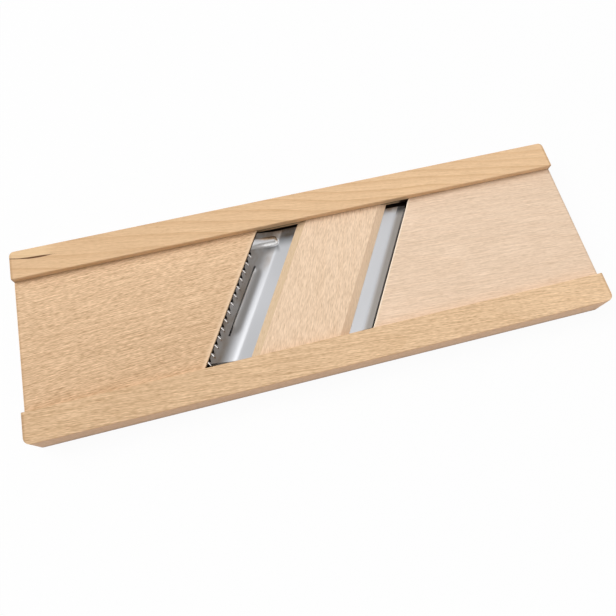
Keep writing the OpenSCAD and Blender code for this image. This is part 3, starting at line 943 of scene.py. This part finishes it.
tooth_count = math.floor((EDGE_FAR - EDGE_NEAR - TOOTH_START - TOOTH_END) / TOOTH_PITCH) + 1
TEETH = [EDGE_FAR - TOOTH_START - i * TOOTH_PITCH for i in range(tooth_count)]


def steps(low, high, size):
    count = max(1, round((high - low) / size))
    return [low + (high - low) * i / count for i in range(count + 1)]


def spaced(bounds, sizes):
    spans = zip(bounds, bounds[1:], sizes)
    return [value for low, high, size in spans for value in steps(low, high, size)[:-1]] + [bounds[-1]]


def sheet_rows():
    low, high = EDGE_NEAR - ROW_PAST, far_end(-KERF) + ROW_PAST
    marks = [SLOT_MID - SLOT_LENGTH / 2, SLOT_MID + SLOT_LENGTH / 2]
    for tooth in TEETH:
        marks += [tooth + SHEET, tooth + SHEET + NOTCH_STEP, tooth + SHEET + NOTCH_WIDTH]
    kept = sorted(mark for mark in marks if low < mark < high)
    return spaced([low, *kept, high], [ROW_STEP] * (len(kept) + 1))


def sheet_columns():
    creases = [0.0, FLANGE - CREASE, FLANGE + CREASE, FLANGE + CURVE]
    bounds = [-KERF, *creases, SLOT_NEAR, SLOT_FAR, REACH - NOTCH_DEPTH, REACH]
    sizes = [KERF_STEP, FLANGE_STEP, CREASE * 2, COLUMN_STEP, COLUMN_STEP, SLOT, COLUMN_STEP, COLUMN_STEP]
    return spaced(bounds, sizes)


print("grid:", len(sheet_rows()), "rows and", len(sheet_columns()), "columns for", tooth_count, "teeth")

# %% [markdown]
# ## The sheet as a grid
# The last columns stop short where a notch is. Rows that would run past an end collapse onto the end line, and
# merging the doubled points then leaves a clean cut end. The slot is a row of faces left out. A Solidify modifier
# gives the sheet the thickness of the steel, downwards from the drawn top.

# %% Solid sheet
WELD = 0.002 * MM


def place_of(across, along, height):
    x, y = across * cosine + along * sine, along * cosine - across * sine
    return Vector((x, y, DECK + height)) * MM


def notch_at(along):
    for tooth in TEETH:
        past = along - tooth - SHEET
        if NOTCH_STEP / 2 < past < NOTCH_WIDTH:
            return NOTCH_DEPTH * (1 - past / NOTCH_WIDTH)
    return 0.0


def sheet_point(along, out):
    past = max(0.0, (out - REACH + NOTCH_DEPTH) / NOTCH_DEPTH)
    kept = out - past * notch_at(along)
    seat = min(max(along, near_end(kept)), far_end(kept))
    height = pressed_height(kept) + lip_height(kept, seat) + bead_height(kept, seat)
    return place_of(FOOT - kept, seat, height)


def sheet_shape(shape):
    rows, columns = sheet_rows(), sheet_columns()
    grid = [[shape.verts.new(sheet_point(along, out)) for out in columns] for along in rows]
    slot = columns.index(SLOT_NEAR)
    for i in range(len(rows) - 1):
        middle = (rows[i] + rows[i + 1]) / 2
        open_row = abs(middle - SLOT_MID) < SLOT_LENGTH / 2
        for j in range(len(columns) - 1):
            if not (open_row and j == slot):
                shape.faces.new((grid[i][j], grid[i + 1][j], grid[i + 1][j + 1], grid[i][j + 1]))
    bmesh.ops.remove_doubles(shape, verts=shape.verts, dist=WELD)
    bmesh.ops.recalc_face_normals(shape, faces=shape.faces)


def solid_sheet():
    mesh = bpy.data.meshes.new("sheet")
    shape = bmesh.new()
    sheet_shape(shape)
    shape.to_mesh(mesh)
    shape.free()
    flat = bpy.data.objects.new("sheet", mesh)
    scene.collection.objects.link(flat)
    thick = flat.modifiers.new("thickness", "SOLIDIFY")
    up = sum(polygon.normal.z for polygon in mesh.polygons) > 0
    thick.thickness, thick.offset = SHEET * MM, -1.0 if up else 1.0
    done = bpy.data.meshes.new_from_object(flat.evaluated_get(bpy.context.evaluated_depsgraph_get()))
    bpy.data.objects.remove(flat)
    return done


sheet = solid_sheet()
print("sheet:", len(sheet.polygons), "faces")

# %% [markdown]
# ## The fins of the teeth
# A fin is a section swept inwards from the toothed edge and turned a little off square. Its flanks rise from
# inside the sheet, so no gap shows at the root, its top is flat, and it fades into the ramp at its tail. Copies
# of one mesh would not follow the ramp, so each fin asks for the height below it.

# %% Fins
TOOTH_LENGTH, TOOTH_TURN = 4.0, 30.0
FIN_SECTION = [(-0.62, -0.30, 0.0), (-0.50, 0.0, 0.10), (-0.36, 0.0, 0.90), (-0.24, 0.0, 1.0),
               (0.24, 0.0, 1.0), (0.36, 0.0, 0.90), (0.50, 0.0, 0.10), (0.62, -0.30, 0.0)]
FIN_LEVEL, FIN_CLIMB, FIN_TAIL, FIN_STEPS = 1.2, 0.08, 0.75, 8


def fin_shape(shape, tooth):
    turn = math.radians(TOOTH_TURN)
    rings = []
    for k in range(FIN_STEPS + 1):
        along_fin = TOOTH_LENGTH * k / FIN_STEPS
        fade = 1 - smooth(k / FIN_STEPS, FIN_TAIL, 1.0)
        ring = []
        for side, sunk, share in FIN_SECTION:
            inward = along_fin * math.cos(turn) + side * math.sin(turn)
            drift = -along_fin * math.sin(turn) + side * math.cos(turn)
            base = pressed_height(REACH - inward)
            crest = max(0.0, RISE + FIN_LEVEL + FIN_CLIMB * along_fin - base)
            height = base + sunk + crest * share * fade
            ring.append(shape.verts.new(place_of(EDGE + inward, tooth + drift, height)))
        rings.append(ring)
    for first, second in zip(rings, rings[1:]):
        for j in range(len(FIN_SECTION)):
            after = (j + 1) % len(FIN_SECTION)
            shape.faces.new((first[j], first[after], second[after], second[j]))
    shape.faces.new(rings[0])
    shape.faces.new(rings[-1])


print("fins: %.1f mm long, %.1f mm apart" % (TOOTH_LENGTH, TOOTH_PITCH))

# %% [markdown]
# ## The finished blade
# Sheet and fins become one mesh. A press leaves round bends and shears leave sharp edges, so all faces are
# smooth, and only edges steeper than a set angle stay sharp. The new piece rides on the frame's root body and
# stands in for the toothed blade of the frame.

# %% Build the toothed blade
SHARP_ANGLE = 38


def toothed_blade():
    shape = bmesh.new()
    shape.from_mesh(sheet)
    for tooth in TEETH:
        fin_shape(shape, tooth)
    bmesh.ops.recalc_face_normals(shape, faces=shape.faces)
    mesh = bpy.data.meshes.new("pressed_toothed_blade")
    shape.to_mesh(mesh)
    shape.free()
    for polygon in mesh.polygons:
        polygon.use_smooth = True
    mesh.set_sharp_from_angle(angle=math.radians(SHARP_ANGLE))
    blade = bpy.data.objects.new("pressed_toothed_blade", mesh)
    scene.collection.objects.link(blade)
    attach(blade, "root")
    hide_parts("toothed_blade")
    return blade


pressed_blade = toothed_blade()
print("toothed blade:", len(pressed_blade.data.polygons), "faces,", tooth_count, "teeth")

# %% [markdown]
# ## Stain, painted shade and polish
# Use has left brown stain along the edge, and bright steel where hands and cabbages rub, on the bead and on the
# tips of the teeth. Towards the far rail the steel is browner and darker, partly stain and partly painted shade
# and reflection of the rail, the sheet below the bead carries a painted shadow of the bead, and the flange
# darkens a little towards its near end. A painted map would need an unwrapped mesh. Masks in millimetres stay
# with the shapes that cause the marks.

# %% Dress the toothed blade
# Painted shade and reflection of the far rail darken the far half and the strip along the rail; a painted shadow
# lies below the bead.
FLANGE_END = (35.0, 37.0)
EDGE_STAIN, RAIL_STAIN_AND_SHADE = (40.0, 48.0, 0.0, 0.75), (36.0, 46.0, 0.0, 1.4)
FAR_HALF_SHADE = (-34.0, 10.0, 0.0, 0.6)
STEEL_RAIL_SHADE, RAIL_SHADE_ON_CURVE = (31.5, 42.5, 0.0, 0.72), 0.45
NEAR_DARKENING = (-10.0, -75.0, 0.0, 0.2)
SHADE_FALL, SHADE_START, SHADE_STOP = (3.0, 11.0, 0.7, 0.0), (5.0, 13.0), (1.5, 4.0, 1.0, 0.0)
BEAD_CLEAN = (2.8, 4.4, 1.0, 0.0)
TIP_POLISH = (DECK + 1.2, DECK + 1.5, 0.0, 0.7)
BEAD_X = EDGE * cosine + (EDGE_FAR - BEAD_START) * sine
BEAD_Y = (EDGE_FAR - BEAD_START) * cosine - EDGE * sine


def on_bead(tree, part):
    aside = calc(tree, "ABSOLUTE", calc(tree, "SUBTRACT", part["Y"], BEAD_Y))
    past = calc(tree, "MAXIMUM", calc(tree, "SUBTRACT", part["X"], BEAD_X + BEAD_RUN), 0.0)
    return ease(tree, hypotenuse(tree, past, aside), *BEAD_CLEAN)


def bead_shade(tree, part):
    below = calc(tree, "SUBTRACT", BEAD_Y, part["Y"])
    beside = calc(tree, "SUBTRACT", part["X"], BEAD_X)
    shade = product(tree, ease(tree, below, *SHADE_FALL), calc(tree, "GREATER_THAN", below, 0.0))
    stop = ease(tree, calc(tree, "SUBTRACT", beside, BEAD_RUN), *SHADE_STOP)
    return product(tree, shade, ease(tree, beside, *SHADE_START), stop)


def blade_stain_and_shade(tree, blade, part):
    end = product(tree, ease(tree, blade["X"], *FAR_HALF_SHADE), ease(tree, blade["Y"], *FLANGE_END))
    amount = largest(tree, ease(tree, blade["Y"], *EDGE_STAIN), end, ease(tree, part["Y"], *RAIL_STAIN_AND_SHADE))
    return calc(tree, "SUBTRACT", amount, on_bead(tree, part), clamp=True)


def blade_darkening(tree, blade, part):
    on_curve = ease(tree, blade["Y"], *FLANGE_END, 1.0, RAIL_SHADE_ON_CURVE)
    on_flange = ease(tree, blade["Y"], *FLANGE_END, 1.0, 0.0)
    rail = product(tree, ease(tree, part["Y"], *STEEL_RAIL_SHADE), on_curve)
    near = product(tree, ease(tree, blade["X"], *NEAR_DARKENING), on_flange)
    return largest(tree, rail, near, bead_shade(tree, part))


def blade_polish(tree, blade, part):
    return largest(tree, ease(tree, blade["Z"], *TIP_POLISH), on_bead(tree, part))


steel = blade_steel("pressed_blade_steel", blade_stain_and_shade, blade_darkening, polish=blade_polish)
pressed_blade.data.materials.append(steel)
print("bead begins at %.1f, %.1f mm and is %.1f mm long" % (BEAD_X, BEAD_Y, BEAD_RUN))
